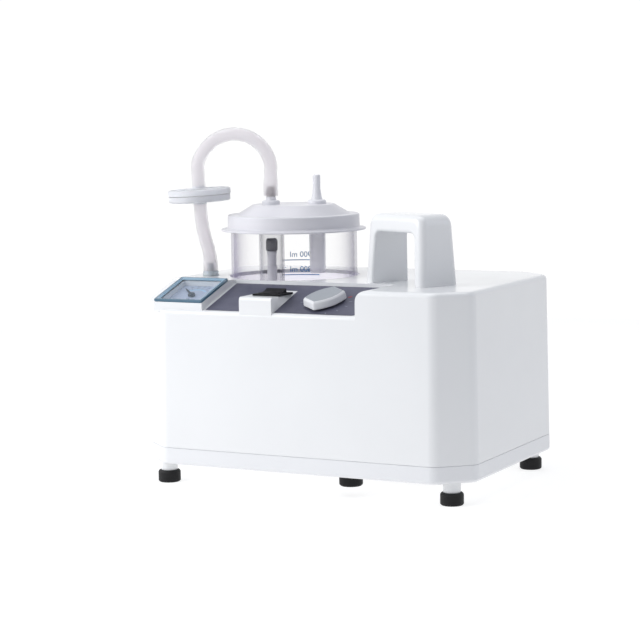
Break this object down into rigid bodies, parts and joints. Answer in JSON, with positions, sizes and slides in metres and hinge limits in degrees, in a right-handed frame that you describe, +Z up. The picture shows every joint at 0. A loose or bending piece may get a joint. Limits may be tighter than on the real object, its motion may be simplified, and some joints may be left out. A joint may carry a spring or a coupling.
{
  "type": "suction pump",
  "caption": "Portable aspirator: low white housing with a sloping control panel, clear collection jar with a ported lid, in-line filter on an arched hose and a carrying handle.",
  "frame": {"origin": "on the ground, under the middle of the housing", "axes": "-Y to the front with the controls, +X to the side with the handle, +Z up"},
  "size_m": [0.2892, 0.196, 0.2762],
  "materials": {
    "white_case": "satin moulded white, fine texture",
    "white_tray": "satin moulded white",
    "panel_film": "matt blue-grey film",
    "gauge_frame": "glossy dark teal",
    "clear_window": "clear acrylic",
    "dial_face": "printed pale blue-grey dial",
    "needle_black": "matt black",
    "brass": "machined",
    "black_plastic": "moulded black",
    "grey_knob": "satin light grey",
    "steel": "zinc plated",
    "clear_jar": "clear polycarbonate",
    "lid_plastic": "light grey satin",
    "soft_rubber": "matt black",
    "cage_plastic": "frosted translucent",
    "float_plastic": "light grey",
    "silicone_hose": "translucent silicone",
    "filter_shell": "translucent blue-grey",
    "membrane": "white hydrophobic membrane",
    "aluminium": "die cast",
    "copper_coil": "varnished copper winding under tape",
    "circuit_board": "green solder mask",
    "part_plastic": "blue component sleeve",
    "red_wire": "insulated wire"
  },
  "bodies": {
    "housing": {"base_tray": "white_tray", "upper_cover": "white_case", "carry_handle": "white_case", "foot_legs": "white_case", "rubber_feet": "soft_rubber", "foot_screws": "steel", "case_screws": "steel", "base_bumper": "soft_rubber", "control_panel_skin": "panel_film", "gauge_bezel": "gauge_frame", "gauge_lens": "clear_window", "gauge_dial": "dial_face", "gauge_can": "steel", "bourdon_tube": "brass", "switch_housing": "black_plastic", "regulator_valve": "brass", "jar_well": "white_tray", "inlet_nipple": "cage_plastic", "pump_plate": "steel", "rubber_mounts": "soft_rubber", "pump_cylinder": "aluminium", "pump_head": "aluminium", "valve_plate": "steel", "pump_bolts": "steel", "magnet_cores": "steel", "drive_coils": "copper_coil", "return_spring": "steel", "rear_stop": "steel", "fan_frame": "black_plastic", "power_inlet": "black_plastic", "inlet_pins": "brass", "control_board": "circuit_board", "board_parts": "part_plastic", "manifold": "black_plastic", "internal_hoses": "silicone_hose", "wiring": "red_wire", "exhaust_muffler": "black_plastic"},
    "jar": {"collection_jar": "clear_jar"},
    "lid": {"jar_lid": "lid_plastic", "lid_gasket": "soft_rubber", "vacuum_port": "lid_plastic", "patient_port": "lid_plastic", "float_cage": "cage_plastic", "inlet_tube": "lid_plastic", "hose_lid_to_filter": "silicone_hose", "hose_filter_to_body": "silicone_hose", "filter_top": "filter_shell", "filter_bottom": "filter_shell", "filter_membrane": "membrane"},
    "float": {"float_body": "float_plastic", "float_seal": "soft_rubber"},
    "rocker": {"switch_rocker": "black_plastic"},
    "regulator": {"regulator_knob": "grey_knob", "regulator_stem": "brass"},
    "needle": {"gauge_needle": "needle_black"},
    "piston": {"pump_piston": "aluminium", "pump_armature": "steel"},
    "fan": {"fan_rotor": "black_plastic"},
    "fuse_drawer": {"fuse_drawer": "black_plastic", "fuses": "clear_window"}
  },
  "joints": [
    {"name": "jar_lift", "type": "slide", "parent": "housing", "child": "jar", "axis": [0, 0, 1], "range_m": [0, 0.115]},
    {"name": "lid_lift", "type": "slide", "parent": "jar", "child": "lid", "axis": [0, 0, 1], "range_m": [0, 0.07]},
    {"name": "float_rise", "type": "slide", "parent": "lid", "child": "float", "axis": [0, 0, 1], "range_m": [0, 0.0225]},
    {"name": "power_rocker", "type": "hinge", "parent": "housing", "child": "rocker", "pos_m": [-0.0288, -0.0735, 0.149], "axis": [1, 0, 0], "range_deg": [-22, 0]},
    {"name": "regulator_turn", "type": "hinge", "parent": "housing", "child": "regulator", "pos_m": [0.0164, -0.07387, 0.14553], "axis": [0, -0.3074, 0.9516], "range_deg": [-150, 120]},
    {"name": "gauge_needle", "type": "hinge", "parent": "housing", "child": "needle", "pos_m": [-0.1014, -0.07256, 0.14736], "axis": [0, -0.3074, 0.9516], "range_deg": [-90, 0], "stiffness_Nm_per_rad": 0.0002},
    {"name": "piston_stroke", "type": "slide", "parent": "housing", "child": "piston", "axis": [0, 1, 0], "range_m": [-0.003, 0.003], "stiffness_N_per_m": 600, "deforming": ["return_spring"]},
    {"name": "fan_spin", "type": "hinge", "parent": "housing", "child": "fan", "pos_m": [0.07, 0.084, 0.074], "axis": [0, 1, 0], "continuous": true},
    {"name": "fuse_drawer_slide", "type": "slide", "parent": "housing", "child": "fuse_drawer", "axis": [0, 1, 0], "range_m": [0, 0.02]}
  ]
}
